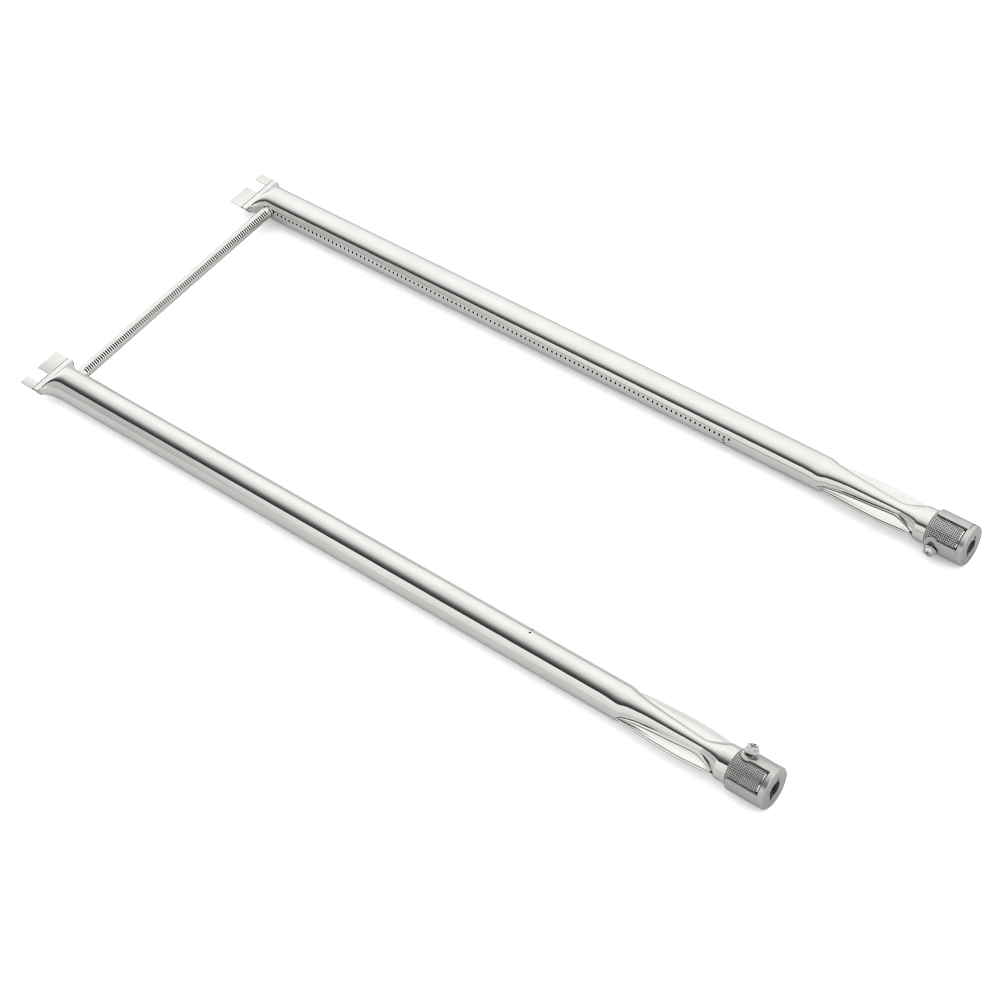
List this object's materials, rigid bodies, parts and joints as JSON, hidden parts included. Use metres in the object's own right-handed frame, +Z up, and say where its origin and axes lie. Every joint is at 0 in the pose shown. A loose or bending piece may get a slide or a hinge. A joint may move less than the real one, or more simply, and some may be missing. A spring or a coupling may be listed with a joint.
{
  "type": "grill burner assembly",
  "caption": "Pair of side-ported stainless tube burners joined by a slotted crossover tube, each with a venturi, screen and turning air shutter.",
  "frame": {"origin": "centre of the bounding box's underside, on the surface the set lies on", "axes": "+X along the burners towards the air shutters, +Y from the left burner to the right burner, +Z up"},
  "size_m": [0.6662, 0.2734, 0.0351],
  "materials": {
    "burner_steel": "bright brushed stainless steel",
    "crossover_steel": "bright drawn stainless steel tube",
    "shutter_steel": "dull satin drawn steel",
    "screen_steel": "fine woven wire cloth",
    "screw_steel": "plated steel"
  },
  "bodies": {
    "left_burner": {"left_burner_tube": "burner_steel", "left_spider_screen": "screen_steel"},
    "left_shutter": {"left_air_shutter": "shutter_steel"},
    "left_screw": {"left_shutter_screw": "screw_steel"},
    "right_burner": {"right_burner_tube": "burner_steel", "right_spider_screen": "screen_steel"},
    "right_shutter": {"right_air_shutter": "shutter_steel"},
    "right_screw": {"right_shutter_screw": "screw_steel"},
    "crossover": {"crossover_tube": "crossover_steel"}
  },
  "joints": [
    {"name": "left_shutter_turn", "type": "hinge", "parent": "left_burner", "child": "left_shutter", "pos_m": [0.31095, -0.1174, 0.0149], "axis": [1, 0, 0], "range_deg": [-9, 13]},
    {"name": "left_screw_turn", "type": "hinge", "parent": "left_burner", "child": "left_screw", "pos_m": [0.31095, -0.11036, 0.02814], "axis": [0, 0.4695, 0.8829], "range_deg": [0, 360]},
    {"name": "right_shutter_turn", "type": "hinge", "parent": "right_burner", "child": "right_shutter", "pos_m": [0.31095, 0.1174, 0.0149], "axis": [1, 0, 0], "range_deg": [-1, 21]},
    {"name": "right_screw_turn", "type": "hinge", "parent": "right_burner", "child": "right_screw", "pos_m": [0.31095, 0.10263, 0.0123], "axis": [0, -0.9848, -0.1736], "range_deg": [0, 360]},
    {"name": "crossover_turn", "type": "hinge", "parent": "left_burner", "child": "crossover", "pos_m": [-0.29905, 0, 0.0149], "axis": [0, 1, 0], "continuous": true},
    {"name": "right_burner_slide", "type": "slide", "parent": "left_burner", "child": "right_burner", "axis": [0, 1, 0], "range_m": [-0.015, 0.0075]}
  ]
}
